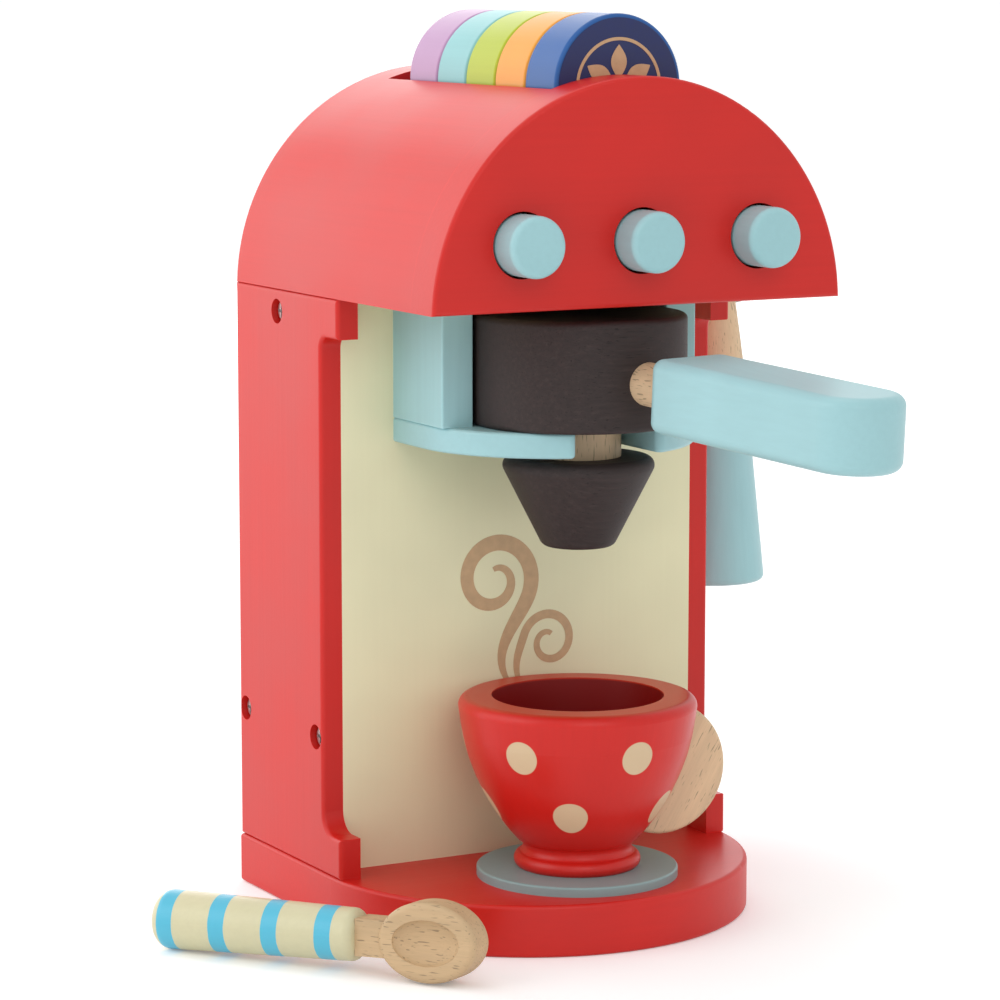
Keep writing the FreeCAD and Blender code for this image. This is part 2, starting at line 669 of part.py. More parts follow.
def make_wand_bell():
    """Lower, painted part of the wand, widening to a rounded rim."""
    rim, edge = WAND_END_RADIUS, WAND_END_ROUND
    tenon_end = WAND_SPLIT_Z - WAND_TENON
    lip = edge * (1 - cos(radians(45)))
    profile = [
        line(at(0, WAND_END_Z), at(rim - edge, WAND_END_Z)),
        arc(at(rim - edge, WAND_END_Z), at(rim - lip, WAND_END_Z + lip),
            at(rim, WAND_END_Z + edge)),
        arc(at(rim, WAND_END_Z + edge), at(*WAND_BELL_MIDDLE),
            at(WAND_SPLIT_RADIUS, WAND_SPLIT_Z)),
        line(at(WAND_SPLIT_RADIUS, WAND_SPLIT_Z), at(WAND_TENON_RADIUS, WAND_SPLIT_Z)),
        line(at(WAND_TENON_RADIUS, WAND_SPLIT_Z), at(WAND_TENON_RADIUS, tenon_end)),
        line(at(WAND_TENON_RADIUS, tenon_end), at(0, tenon_end)),
        line(at(0, tenon_end), at(0, WAND_END_Z)),
    ]
    return turned(profile, Vector(WAND_X, y_at(WAND_DEPTH), 0))


# Cup
def cup_body(inset):
    """Turned cup without its hollow, its radii drawn in by an inset."""
    def p(radius, z):
        return at(radius - inset, z)
    rim, edge, top = CUP_RIM_RADIUS, CUP_RIM_ROUND, CUP_HEIGHT
    lip = edge * (1 - cos(radians(45)))
    foot = CUP_FOOT_RADIUS - CUP_FOOT_ROUND
    profile = [
        line(at(0, 0), p(foot, 0)),
        arc(p(foot, 0), p(CUP_FOOT_RADIUS, CUP_FOOT_MIDDLE), p(*CUP_ANKLE)),
        arc(p(*CUP_ANKLE), p(*CUP_WAIST), p(*CUP_CALF)),
        arc(p(*CUP_CALF), p(*CUP_BELLY), p(*CUP_SHOULDER)),
        line(p(*CUP_SHOULDER), p(rim, top - edge)),
        arc(p(rim, top - edge), p(rim - lip, top - lip), p(rim - edge, top)),
        line(p(rim - edge, top), at(0, top)),
        line(at(0, top), at(0, 0)),
    ]
    return turned(profile, brew_point(COASTER_TOP))


def cup_hollow():
    """Hollow of the cup: a gently narrowing wall and a round bottom."""
    above = CUP_HEIGHT + 1
    profile = [
        line(at(0, CUP_FLOOR), at(CUP_FLOOR_RADIUS, CUP_FLOOR)),
        arc(at(CUP_FLOOR_RADIUS, CUP_FLOOR), at(*CUP_FLOOR_BEND), at(*CUP_WALL_FOOT)),
        line(at(*CUP_WALL_FOOT), at(CUP_MOUTH_RADIUS, CUP_HEIGHT)),
        line(at(CUP_MOUTH_RADIUS, CUP_HEIGHT), at(CUP_MOUTH_RADIUS, above)),
        line(at(CUP_MOUTH_RADIUS, above), at(0, above)),
        line(at(0, above), at(0, CUP_FLOOR)),
    ]
    return turned(profile, brew_point(COASTER_TOP))


def make_cup_grip():
    """Flat round disc let into the side of the cup."""
    turn = Rotation(Z_AXIS, GRIP_TURN)
    normal = turn.multVec(Y_AXIS)
    centre = brew_point(COASTER_TOP + GRIP_ABOVE_COASTER) + turn.multVec(X_AXIS) * GRIP_REACH
    disc = rounded_disc(GRIP_RADIUS, GRIP_THICKNESS, GRIP_ROUND,
                        centre - normal * (GRIP_THICKNESS / 2), normal)
    return disc.cut(cup_body(GRIP_HOUSING))


def make_cup_bowl():
    return cup_body(0).cut(cup_hollow()).cut(make_cup_grip())


# Capsules
def make_pod(number):
    """Round capsule block; number counts from the back of the row."""
    pitch = POD_LENGTH + POD_SPACING
    front_depth = HOOD_BOARD_BACK - SIDE_GAP - (len(POD_NAMES) - 1 - number) * pitch
    start = Vector(0, y_at(front_depth), POD_AXIS_Z)
    return rounded_disc(POD_RADIUS, POD_LENGTH, POD_ROUND, start, Y_AXIS)


# Spoon, drawn along X from the end of its handle and then laid down
def spoon_handle_shape():
    """Tapering round handle with rounded ends."""
    start, end = SPOON_HANDLE_RADIUS, SPOON_HANDLE_NECK_RADIUS
    handle = Part.makeCone(start, end, SPOON_HANDLE_LENGTH, Vector(0, 0, 0), X_AXIS)
    handle = handle.makeFillet(SPOON_BUTT_ROUND, edges_where(handle, lambda p: p.x < NEAR))
    neck = edges_where(handle, lambda p: p.x > SPOON_HANDLE_LENGTH - NEAR)
    handle = handle.makeFillet(SPOON_NECK_ROUND, neck)
    socket = Vector(SPOON_HANDLE_LENGTH - SPOON_TENON, 0, 0)
    return handle.cut(rod(SPOON_TENON_RADIUS, socket, X_AXIS, SPOON_TENON + 1))


def oval_prism(length, width, low, high):
    """Upright oval block centred on the spoon's bowl."""
    ring = Part.Ellipse(Vector(SPOON_BOWL_X, 0, low), length / 2, width / 2).toShape()
    oval = outline_prism(Part.Wire([ring]), Vector(0, 0, high - low))
    rims = edges_where(oval, lambda p: abs(p.z - low) < NEAR or abs(p.z - high) < NEAR)
    return oval.makeFillet(SPOON_BOWL_ROUND, rims)


def spoon_bowl_shape():
    """Thick oval with a shallow hollow, a square neck and a round tenon."""
    half = SPOON_THICKNESS / 2
    bowl = oval_prism(SPOON_BOWL_LENGTH, SPOON_BOWL_WIDTH, -half, half)
    wide, thick = SPOON_NECK_WIDTH / 2, SPOON_NECK_THICKNESS / 2
    neck = block((SPOON_HANDLE_LENGTH, SPOON_BOWL_X), (-wide, wide), (-thick, thick))
    tenon = rod(SPOON_TENON_RADIUS, Vector(SPOON_HANDLE_LENGTH - SPOON_TENON, 0, 0), X_AXIS,
                SPOON_TENON)
    spoon = bowl.fuse(neck).fuse(tenon).removeSplitter()
    stretch = Matrix()
    stretch.scale(Vector(SPOON_HOLLOW_LENGTH / 2, SPOON_HOLLOW_WIDTH / 2, SPOON_HOLLOW_DEPTH))
    dish = Part.makeSphere(1.0).transformGeometry(stretch)
    dish.translate(Vector(SPOON_BOWL_X, 0, half))
    return spoon.cut(dish)


def make_spoon():
    """Handle and bowl of the spoon, turned on edge and lowered onto the floor."""
    roll = radians(SPOON_ROLL)
    reach = SPOON_BOWL_WIDTH / 2 * sin(roll) + SPOON_THICKNESS / 2 * cos(roll)
    rise = atan2(reach - SPOON_HANDLE_RADIUS, SPOON_BOWL_X)
    turn = Rotation(Z_AXIS, SPOON_HEADING) * Rotation(Y_AXIS, -degrees(rise))
    turn = turn * Rotation(X_AXIS, SPOON_ROLL)
    place = FreeCAD.Placement(Vector(SPOON_END[0], SPOON_END[1], 0), turn)
    pieces = [spoon_handle_shape(), spoon_bowl_shape()]
    for piece in pieces:
        piece.transformShape(place.toMatrix())
    floor = min(piece.optimalBoundingBox(False).ZMin for piece in pieces)
    for piece in pieces:
        piece.translate(Vector(0, 0, -floor))
    return pieces


# Screws
def make_side_screws():
    screws = []
    for side in (-1, 1):
        inward = Vector(-side, 0, 0)
        for place in side_screw_places(side):
            screws.append(wood_screw(place + inward * SCREW_SINK, inward, SIDE_SCREW_LENGTH))
    return Part.makeCompound(screws)


def make_base_screws():
    sink = Z_AXIS * SCREW_SINK
    return Part.makeCompound([wood_screw(place + sink, Z_AXIS, BASE_SCREW_LENGTH)
                              for place in base_screw_places()])


def make_hood_screws():
    return Part.makeCompound([wood_screw(place, Z_AXIS, HOOD_SCREW_LENGTH)
                              for place in hood_screw_places()])


def build_nodes():
    """Every piece of the machine under its node name."""
    spoon_handle, spoon_bowl = make_spoon()
    nodes = {
        "base_plate": make_base(),
        "coaster": make_coaster(),
        "side_board_left": make_side(-1),
        "side_board_right": make_side(1),
        "front_board": make_column_board(UPRIGHT_DEPTH - COLUMN_BOARD, UPRIGHT_DEPTH),
        "back_board": make_column_board(0, COLUMN_BOARD),
        "cross_board": make_cross_board(),
        "hood_front": make_hood_front(),
        "hood_arch": make_hood_arch(),
        "hood_back": make_hood_back(),
        "hood_floor": make_hood_floor(),
        "pod_tray": make_pod_tray(),
        "button_rail": make_button_rail(),
        "guide_block_left": make_guide_block(-1),
        "guide_block_right": make_guide_block(1),
        "fork_plate": make_fork_plate(),
        "filter_drum": make_drum(),
        "stem_dowel": make_stem(),
        "spout_cone": make_spout(),
        "handle_peg": handle_peg(PEG_RADIUS),
        "filter_handle": make_handle(),
        "wand_boss": make_wand_boss(),
        "wand_pin": make_wand_pin(),
        "wand_neck": make_wand_neck(),
        "wand_bell": make_wand_bell(),
        "cup_bowl": make_cup_bowl(),
        "cup_grip": make_cup_grip(),
        "spoon_handle": spoon_handle,
        "spoon_bowl": spoon_bowl,
        "side_screws": make_side_screws(),
        "base_screws": make_base_screws(),
        "hood_screws": make_hood_screws(),
    }
    for name, x in BUTTON_XS.items():
        nodes["button_" + name] = make_button(x)
        nodes["spring_" + name] = make_spring(x)
    for number, name in enumerate(POD_NAMES):
        nodes[name] = make_pod(number)
    return nodes


def main():
    os.makedirs("parts", exist_ok=True)
    for name, shape in build_nodes().items():
        shape.exportStep("parts/" + name + ".step")
        box = shape.BoundBox
        print(name, "solids", len(shape.Solids), "valid", shape.isValid(),
              "volume %.1f" % shape.Volume, "z %.2f to %.2f" % (box.ZMin, box.ZMax))


main()
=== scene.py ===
# %% [markdown]
# # A wooden toy coffee maker
# The toy is cut from painted boards: a column, an arched hood with a row of
# capsules, a fork that carries a turned filter holder, a steam wand, a cup and
# a spoon. The solids come from the CAD frame with their true sizes, so this
# lesson is about paint, bare wood, printed ornament, light and the camera.

# %% Load the frame
from math import cos, pi, radians, sin

import bmesh
import bpy
from mathutils import Euler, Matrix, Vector


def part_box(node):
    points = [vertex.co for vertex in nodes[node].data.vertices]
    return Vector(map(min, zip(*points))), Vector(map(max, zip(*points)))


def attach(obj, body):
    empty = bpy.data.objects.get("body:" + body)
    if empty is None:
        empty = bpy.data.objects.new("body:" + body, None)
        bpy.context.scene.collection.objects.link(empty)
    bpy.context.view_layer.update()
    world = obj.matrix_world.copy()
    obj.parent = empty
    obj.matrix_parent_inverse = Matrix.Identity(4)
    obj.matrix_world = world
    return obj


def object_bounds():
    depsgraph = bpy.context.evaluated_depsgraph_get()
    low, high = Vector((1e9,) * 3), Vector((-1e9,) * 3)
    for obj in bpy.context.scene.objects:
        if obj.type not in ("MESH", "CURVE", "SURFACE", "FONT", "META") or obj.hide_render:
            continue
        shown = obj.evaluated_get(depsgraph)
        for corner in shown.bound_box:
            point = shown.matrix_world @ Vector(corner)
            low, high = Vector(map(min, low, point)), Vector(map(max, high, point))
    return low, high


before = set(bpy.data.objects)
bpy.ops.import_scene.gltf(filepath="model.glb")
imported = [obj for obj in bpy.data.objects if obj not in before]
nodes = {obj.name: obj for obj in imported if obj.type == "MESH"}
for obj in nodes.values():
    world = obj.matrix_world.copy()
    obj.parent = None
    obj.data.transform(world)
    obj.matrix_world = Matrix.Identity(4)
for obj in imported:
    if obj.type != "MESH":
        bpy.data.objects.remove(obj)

MM = 0.001
cad_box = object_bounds()
print("pieces in the frame:", len(nodes))

# %% [markdown]
# ## Colours as a maker names them
# Paint is matched against the photograph, where colours are read as numbers
# from 0 to 255. A shader wants linear light, so one helper turns the first
# into the second and every colour below can stay readable.

# %% Colours


def paint_mix(red, green, blue):
    """Linear shader colour of a colour read on a screen, 0 to 255."""

    def channel(value):
        part = value / 255
        return part / 12.92 if part <= 0.04045 else ((part + 0.055) / 1.055) ** 2.4

    return (channel(red), channel(green), channel(blue), 1.0)


def scaled(colour, factor):
    """Same colour, lighter or darker."""
    return tuple(min(1.0, part * factor) for part in colour[:3]) + (1.0,)


RED = paint_mix(207, 30, 22)
# The hood's red darkened as painted shade inside the capsule slot
TRAY_SHADE_RED = paint_mix(138, 18, 18)
# Red darkened as painted shade inside the cup
CUP_INSIDE_SHADE_RED = paint_mix(132, 14, 12)
# Warmer red as painted light on the top of the cup's rim
CUP_RIM_LIT_RED = paint_mix(196, 50, 26)
AQUA = paint_mix(160, 204, 209)
COASTER_AQUA = paint_mix(138, 164, 164)
CREAM = paint_mix(237, 233, 194)
TAN_PRINT = paint_mix(198, 164, 124)
DARK_STAIN = paint_mix(54, 44, 43)
BEECH = paint_mix(219, 189, 152)
SPOON_BEECH = paint_mix(203, 172, 132)
PINE = paint_mix(222, 196, 150)
LILAC = paint_mix(186, 145, 184)
MINT = paint_mix(138, 194, 196)
LIME = paint_mix(176, 190, 44)
ORANGE = paint_mix(234, 156, 56)
BLUE = paint_mix(30, 88, 156)
NAVY = paint_mix(20, 34, 88)
IVORY = paint_mix(212, 206, 169)
SKY = paint_mix(86, 186, 214)
DOT_CREAM = paint_mix(216, 190, 154)
STEEL = (0.62, 0.61, 0.60, 1.0)
print("red paint in linear light:", [round(part, 3) for part in RED[:3]])

# %% [markdown]
# ## A small workbench for finishes
# Every finish on this toy is built from the same few nodes: noise for wood
# structure, a ramp that turns it into colour, a bump, and a soft bevel that
# finds edges. Image textures would tie the finish to one unwrapped shape, so
# all patterns here are computed from the position on the piece instead.

# %% Finish builder
BEVEL_SAMPLES = 4
# How well a softened normal matches the true one where an edge starts to show
# and where it shows in full
EDGE_STARTS = 0.995
EDGE_FULL = 0.90


class Finish:
    """One material, and the kinds of node that finishes on this toy use."""

    def __init__(self, name):
        self.material = bpy.data.materials.new(name)
        self.material.use_nodes = True
        self.tree = self.material.node_tree
        self.shader = self.tree.nodes["Principled BSDF"]
        self.place = self.add("ShaderNodeTexCoord").outputs["Object"]

    def add(self, kind, **settings):
        made = self.tree.nodes.new(kind)
        for key, value in settings.items():
            setattr(made, key, value)
        return made

    def feed(self, socket, value):
        """Links a socket to another one, or sets it to a plain value."""
        if isinstance(value, bpy.types.NodeSocket):
            self.tree.links.new(value, socket)
        else:
            socket.default_value = value

    def number(self, operation, *values):
        """Result of one step of arithmetic."""
        step = self.add("ShaderNodeMath", operation=operation)
        for socket, value in zip(step.inputs, values):
            self.feed(socket, value)
        return step.outputs[0]

    def vector(self, operation, first, second, output="Vector"):
        """Result of one step of vector arithmetic."""
        step = self.add("ShaderNodeVectorMath", operation=operation)
        self.feed(step.inputs[0], first)
        self.feed(step.inputs[1], second)
        return step.outputs[output]

    def stretch(self, scales, turn=(0, 0, 0)):
        """Position on the piece, turned and then stretched, in counts per metre."""
        turned = self.add("ShaderNodeMapping")
        self.feed(turned.inputs["Vector"], self.place)
        self.feed(turned.inputs["Rotation"], turn)
        stretched = self.add("ShaderNodeMapping")
        self.feed(stretched.inputs["Vector"], turned.outputs[0])
        self.feed(stretched.inputs["Scale"], scales)
        return stretched.outputs[0]

    def noise(self, vector, scale=1.0, detail=3.0, roughness=0.5):
        """Soft random pattern between 0 and 1, most of it near 0.5."""
        step = self.add("ShaderNodeTexNoise")
        self.feed(step.inputs["Vector"], vector)
        self.feed(step.inputs["Scale"], scale)
        self.feed(step.inputs["Detail"], detail)
        self.feed(step.inputs["Roughness"], roughness)
        return step.outputs[0]

    def ramp(self, factor, stops):
        """Colour or grey level along stops of (place, colour)."""
        step = self.add("ShaderNodeValToRGB")
        band = step.color_ramp
        band.elements[0].position, band.elements[0].color = stops[0]
        band.elements[1].position, band.elements[1].color = stops[-1]
        for place, colour in stops[1:-1]:
            band.elements.new(place).color = colour
        self.feed(step.inputs[0], factor)
        return step.outputs[0]

    def span(self, value, low, high, to_low=0.0, to_high=1.0):
        """Value spread from low..high to another range, clamped."""
        step = self.add("ShaderNodeMapRange")
        for socket, given in zip(step.inputs, (value, low, high, to_low, to_high)):
            self.feed(socket, given)
        return step.outputs[0]

    def mix(self, factor, first, second):
        """First colour where the factor is 0, second colour where it is 1."""
        step = self.add("ShaderNodeMix", data_type="RGBA")
        self.feed(step.inputs[0], factor)
        self.feed(step.inputs[6], first)
        self.feed(step.inputs[7], second)
        return step.outputs[2]

    def bump(self, height, depth, strength, under=None):
        """Normal that is tilted by a height, on top of another normal if given."""
        step = self.add("ShaderNodeBump")
        self.feed(step.inputs["Strength"], strength)
        self.feed(step.inputs["Distance"], depth)
        self.feed(step.inputs["Height"], height)
        if under is not None:
            self.feed(step.inputs["Normal"], under)
        return step.outputs[0]

    def edges(self, radius):
        """1 on outer and inner edges, 0 on faces."""
        soft = self.add("ShaderNodeBevel", samples=BEVEL_SAMPLES)
        self.feed(soft.inputs["Radius"], radius)
        true_normal = self.add("ShaderNodeNewGeometry").outputs["Normal"]
        match = self.vector("DOT_PRODUCT", soft.outputs[0], true_normal, "Value")
        return self.span(match, EDGE_STARTS, EDGE_FULL)

    def axis(self, letter):
        """One coordinate of the position on the piece, in metres."""
        step = self.add("ShaderNodeSeparateXYZ")
        self.feed(step.inputs[0], self.place)
        return step.outputs[letter]

    def length(self, first, second):
        """Length of the long side of a right-angled triangle."""
        squares = [self.number("MULTIPLY", side, side) for side in (first, second)]
        return self.number("SQRT", self.number("ADD", *squares))

    def finished(self, colour, roughness, normal):
        """Hands the three patterns to the shader and returns the material."""
        self.feed(self.shader.inputs["Base Color"], colour)
        self.feed(self.shader.inputs["Roughness"], roughness)
        self.feed(self.shader.inputs["Normal"], normal)
        return self.material


print("finish builder ready")

# %% [markdown]
# ## Which way the grain runs
# Wood shows long along the board and short across it. A noise texture gives
# that when it is stretched: few counts per metre along the grain and many
# across it. Each board gets the direction in which a maker would saw it.

# %% Grain directions
# Counts per metre along the grain and across it, for each kind of mark
PAINTED_GRAIN = (14, 620)
BEECH_BANDS = (9, 150)
BEECH_FIBRES = (60, 2400)
BEECH_PORES = (230, 1900)
STAIN_STREAKS = (34, 900)
STAIN_CRACKS = (70, 2600)


def along_grain(grain, counts):
    """Counts per metre on the three axes for a grain along X, Y or Z."""
    along, across = counts
    return tuple(along if axis == grain else across for axis in "XYZ")


print("counts for upright grain under paint:", along_grain("Z", PAINTED_GRAIN))

# %% [markdown]
# ## Satin paint on wood
# Play paint is sprayed thin: it is even in colour, its gloss is satin, and the
# grain below still shows as faint streaks. Corners are painted a little lighter
# as a painted highlight where they catch the light. The paint could be one flat
# colour, but then big boards look like plastic, so colour, gloss and bump each
# get a slow and a fine pattern. A pattern printed on the paint is mixed in last.

# %% Satin paint
# Counts per metre of the slow changes of tone and of the sprayed skin
CLOUD_COUNT = 26.0
PEEL_COUNT = 1500.0
# Width and lightness of the painted highlight on edges
HIGHLIGHT_EDGE = 0.9 * MM
HIGHLIGHT_LIGHT = 1.35
STREAK_DARK = 0.84
GRAIN_DEPTH = 0.05 * MM
PEEL_DEPTH = 0.02 * MM


def satin_paint(name, colour, grain="Z", printed=None, gloss=0.40, streaky=0.22):
    """Thin satin paint; printed may add an ornament to the colour."""
    finish = Finish(name)
    lines = finish.stretch(along_grain(grain, PAINTED_GRAIN))
    streaks = finish.noise(lines, detail=4.0, roughness=0.6)
    cloud = finish.noise(finish.place, CLOUD_COUNT, detail=2.0)
    peel = finish.noise(finish.place, PEEL_COUNT, detail=1.0)
    tone = finish.ramp(cloud, [(0.3, scaled(colour, 0.95)), (0.7, scaled(colour, 1.04))])
    shade = finish.span(streaks, 0.38, 0.72, 0.0, streaky)
    tone = finish.mix(shade, tone, scaled(colour, STREAK_DARK))
    if printed:
        tone = printed(finish, tone)
    # Outer and inner edges get a painted highlight, whose strength changes slowly over the piece
    highlight_strength = finish.span(cloud, 0.3, 0.8, 0.12, 0.45)
    lighter_edges = finish.number("MULTIPLY", finish.edges(HIGHLIGHT_EDGE), highlight_strength)
    tone = finish.mix(lighter_edges, tone, scaled(colour, HIGHLIGHT_LIGHT))
    finish.feed(finish.shader.inputs["Specular IOR Level"], 0.36)
    finish.feed(finish.shader.inputs["Coat Weight"], 0.05)
    finish.feed(finish.shader.inputs["Coat Roughness"], 0.2)
    satin = finish.span(cloud, 0.2, 0.8, gloss - 0.04, gloss + 0.06)
    grain_bump = finish.bump(streaks, GRAIN_DEPTH, 0.5)
    return finish.finished(tone, satin, finish.bump(peel, PEEL_DEPTH, 0.5, grain_bump))


red_upright = satin_paint("red paint on upright boards", RED, "Z")
red_across = satin_paint("red paint on boards laid across", RED, "X")
red_deep = satin_paint("red paint along the hood", RED, "Y")
# Red darkened as painted shade for the inside of the capsule slot
tray_shade_red = satin_paint("red paint of the capsule tray, darkened as painted shade", TRAY_SHADE_RED, "Y")
aqua_upright = satin_paint("aqua paint on upright blocks", AQUA, "Z")
aqua_across = satin_paint("aqua paint on blocks laid across", AQUA, "X")
aqua_deep = satin_paint("aqua paint along the handle", AQUA, "Y")
cream_paint = satin_paint("cream paint of the column", CREAM, "Z", gloss=0.46, streaky=0.07)
coaster_paint = satin_paint("grey aqua paint of the coaster", COASTER_AQUA, "X")
POD_COLOURS = {"lilac": LILAC, "aqua": MINT, "lime": LIME, "orange": ORANGE, "blue": BLUE}
pod_paints = {name: satin_paint(name + " capsule paint", colour, "Y")
              for name, colour in POD_COLOURS.items()}
print("capsule paints mixed:", len(pod_paints))

# %% [markdown]
# ## Bare beech
# Beech is pale, with soft bands and many short dark pore lines that all run
# with the grain. The lines are what tells beech from other pale woods. Three
# stretched noises give them: a slow one for the bands, a fine one for the
# fibres, and one that is cut off high, so that only its peaks stay as dashes.

# %% Bare beech
# Only noise above this level becomes a pore, and above the second one in full
PORE_STARTS = 0.635
PORE_FULL = 0.70
PORE_DARK = 0.42
PORE_DEPTH = 0.08 * MM


def bare_beech(name, grain="Z", turn=(0, 0, 0), colour=BEECH):
    """Unpainted wood whose grain runs along an axis, turned if the piece is."""
    finish = Finish(name)

    def marks(counts, **look):
        return finish.noise(finish.stretch(along_grain(grain, counts), turn), **look)

    bands = marks(BEECH_BANDS, roughness=0.55)
    fibres = marks(BEECH_FIBRES, detail=2.0)
    pores = marks(BEECH_PORES, detail=1.0)
    dark, light = scaled(colour, 0.86), scaled(colour, 1.12)
    tone = finish.ramp(bands, [(0.28, dark), (0.5, colour), (0.74, light)])
    tone = finish.mix(finish.span(fibres, 0.35, 0.75, 0.0, 0.25), tone, scaled(colour, 0.74))
    dashes = finish.span(pores, PORE_STARTS, PORE_FULL, 0.0, 0.75)
    tone = finish.mix(dashes, tone, scaled(colour, PORE_DARK))
    open_wood = finish.number("SUBTRACT", fibres, dashes)
    rough = finish.span(bands, 0.2, 0.8, 0.5, 0.64)
    return finish.finished(tone, rough, finish.bump(open_wood, PORE_DEPTH, 0.55))


GRIP_SLANT = (0, radians(-30), 0)
beech_upright = bare_beech("bare beech, upright", "Z")
beech_deep = bare_beech("bare beech, lengthwise", "Y")
beech_slanted = bare_beech("bare beech of the cup grip", "Z", GRIP_SLANT)
pine_hidden = bare_beech("bare inner boards", "X", colour=PINE)
print("bare woods ready")

# %% [markdown]
# ## Dark stained wood
# The turned filter parts are stained, not painted, so the open grain stays
# visible as fine cracks and paler streaks round the turning. Stain is matt.
# The streaks run level, because the wood was laid across the lathe.

# %% Dark stain
TURNED_EDGE = 0.8 * MM
CRACK_DEPTH = 0.10 * MM


def dark_stain(name, grain):
    """Dark stain on turned wood, with open grain and rims worn lighter."""
    finish = Finish(name)
    lines = finish.stretch(along_grain(grain, STAIN_STREAKS))
    streaks = finish.noise(lines, detail=4.0, roughness=0.65)
    cracks = finish.noise(finish.stretch(along_grain(grain, STAIN_CRACKS)), detail=2.0)
    dark, light = scaled(DARK_STAIN, 0.72), scaled(DARK_STAIN, 1.45)
    tone = finish.ramp(streaks, [(0.30, dark), (0.55, DARK_STAIN), (0.78, light)])
    open_grain = finish.span(cracks, 0.62, 0.70, 0.0, 0.8)
    tone = finish.mix(open_grain, tone, scaled(DARK_STAIN, 0.35))
    lighter_edges = finish.number("MULTIPLY", finish.edges(TURNED_EDGE), 0.35)
    tone = finish.mix(lighter_edges, tone, scaled(DARK_STAIN, 1.9))
    finish.feed(finish.shader.inputs["Specular IOR Level"], 0.3)
    depth = finish.number("SUBTRACT", streaks, open_grain)
    rough = finish.span(streaks, 0.3, 0.8, 0.55, 0.7)
    return finish.finished(tone, rough, finish.bump(depth, CRACK_DEPTH, 0.6))


stained = dark_stain("dark stained turning", "X")
print("stain ready")

# %% [markdown]
# ## Zinc plated screws
# Small screw heads are metal with fine turning marks. A metallic shader with a
# rough noise is enough at this size, and the cross slot is real geometry.

# %% Screw steel
MARK_COUNT = 2600.0
FINE_MARK = 0.01 * MM


def screw_steel():
    """Bright metal with fine marks."""
    finish = Finish("zinc plated steel")
    marks = finish.noise(finish.place, MARK_COUNT, detail=2.0)
    tone = finish.ramp(marks, [(0.3, scaled(STEEL, 0.8)), (0.7, scaled(STEEL, 1.15))])
    finish.feed(finish.shader.inputs["Metallic"], 1.0)
    rough = finish.span(marks, 0.2, 0.8, 0.26, 0.42)
    return finish.finished(tone, rough, finish.bump(marks, FINE_MARK, 0.4))


steel = screw_steel()
print("steel ready")

# %% [markdown]
# ## Dots round the cup
# The cup has two rings of cream dots. They could be discs laid on the wall,
# but the wall curves both ways, so the dots are worked out from the angle
# round the cup and the height on it: the angle is wrapped into equal shares,
# and a spot is where the distance to the middle of its share is small.

# %% Cup paint with dots
cup_low, cup_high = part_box("cup_bowl")
CUP_AXIS_Y = (cup_low.y + cup_high.y) / 2
DOT_RADIUS = 4.95 * MM
DOT_EDGE = 0.12 * MM
# A cone between the inner and the outer wall tells the hollow from the outside
MOUTH_RADIUS = 25.0 * MM
HOLLOW_FOOT = 16.0 * MM
HOLLOW_SLOPE = 0.45
HOLLOW_START = 12.5 * MM
# Depth of the band at the top of the rim that gets the painted light
LIT_RIM_BAND = 0.6 * MM
# Share of a ring's radius that is still outside the cup's wall
WALL_SHARE = 0.85
# Each ring: height over the cup's foot, radius of the wall there, number of
# dots, angle of one of them from the front, and how steep the wall leans
DOT_RINGS = ((37.2 * MM, 33.2 * MM, 6, radians(-58.5), 1.02),
             (19.2 * MM, 25.8 * MM, 5, radians(-34.0), 1.02))


def cup_print(finish, tone):
    """Painted shade inside the cup, painted light on the rim, and the rings of dots outside."""
    x, z = finish.axis("X"), finish.axis("Z")
    y = finish.number("SUBTRACT", finish.axis("Y"), CUP_AXIS_Y)
    angle = finish.number("ARCTAN2", x, finish.number("MULTIPLY", y, -1.0))
    out = finish.length(x, y)
    above = finish.number("SUBTRACT", z, cup_low.z)
    cone = finish.number("MULTIPLY_ADD", above, HOLLOW_SLOPE, HOLLOW_START)
    inner = finish.number("LESS_THAN", out, finish.number("MINIMUM", cone, MOUTH_RADIUS))
    hollow = finish.number("MULTIPLY", inner, finish.number("GREATER_THAN", above, HOLLOW_FOOT))
    # Painted shade inside the cup
    tone = finish.mix(hollow, tone, CUP_INSIDE_SHADE_RED)
    # Painted light on the top of the rim
    lit_rim = finish.span(z, cup_high.z - LIT_RIM_BAND, cup_high.z - LIT_RIM_BAND / 3)
    tone = finish.mix(lit_rim, tone, CUP_RIM_LIT_RED)
    for height, radius, count, first, lean in DOT_RINGS:
        share = 2 * pi / count
        turns = finish.number("DIVIDE", finish.number("SUBTRACT", angle, first), share)
        within = finish.number("WRAP", turns, 0.5, -0.5)
        side = finish.number("MULTIPLY", within, share * radius)
        up = finish.number("MULTIPLY", finish.number("SUBTRACT", above, height), lean)
        reach = finish.length(side, up)
        spot = finish.span(reach, DOT_RADIUS - DOT_EDGE, DOT_RADIUS + DOT_EDGE, 1.0, 0.0)
        outside = finish.number("GREATER_THAN", out, WALL_SHARE * radius)
        tone = finish.mix(finish.number("MULTIPLY", spot, outside), tone, DOT_CREAM)
    return tone


cup_paint = satin_paint("red paint of the cup with dots", RED, "Z", printed=cup_print, gloss=0.36)
print("dots round the cup:", sum(ring[2] for ring in DOT_RINGS))

# %% [markdown]
# ## Stripes on the spoon
# Four blue stripes go round the cream handle. The handle lies at a slant, so
# its own axis is found first, from the middles of its two ends, and the
# stripes repeat along that line.

# %% Spoon paint with stripes
STRIPE_START = 3.0 * MM
STRIPE_PITCH = 16.6 * MM
STRIPE_WIDTH = 5.0 * MM
STRIPE_WAVER = 0.25 * MM
BRUSH_COUNT = 160.0
# Length at each end of the handle whose middle is taken
END_PART = 6 * MM


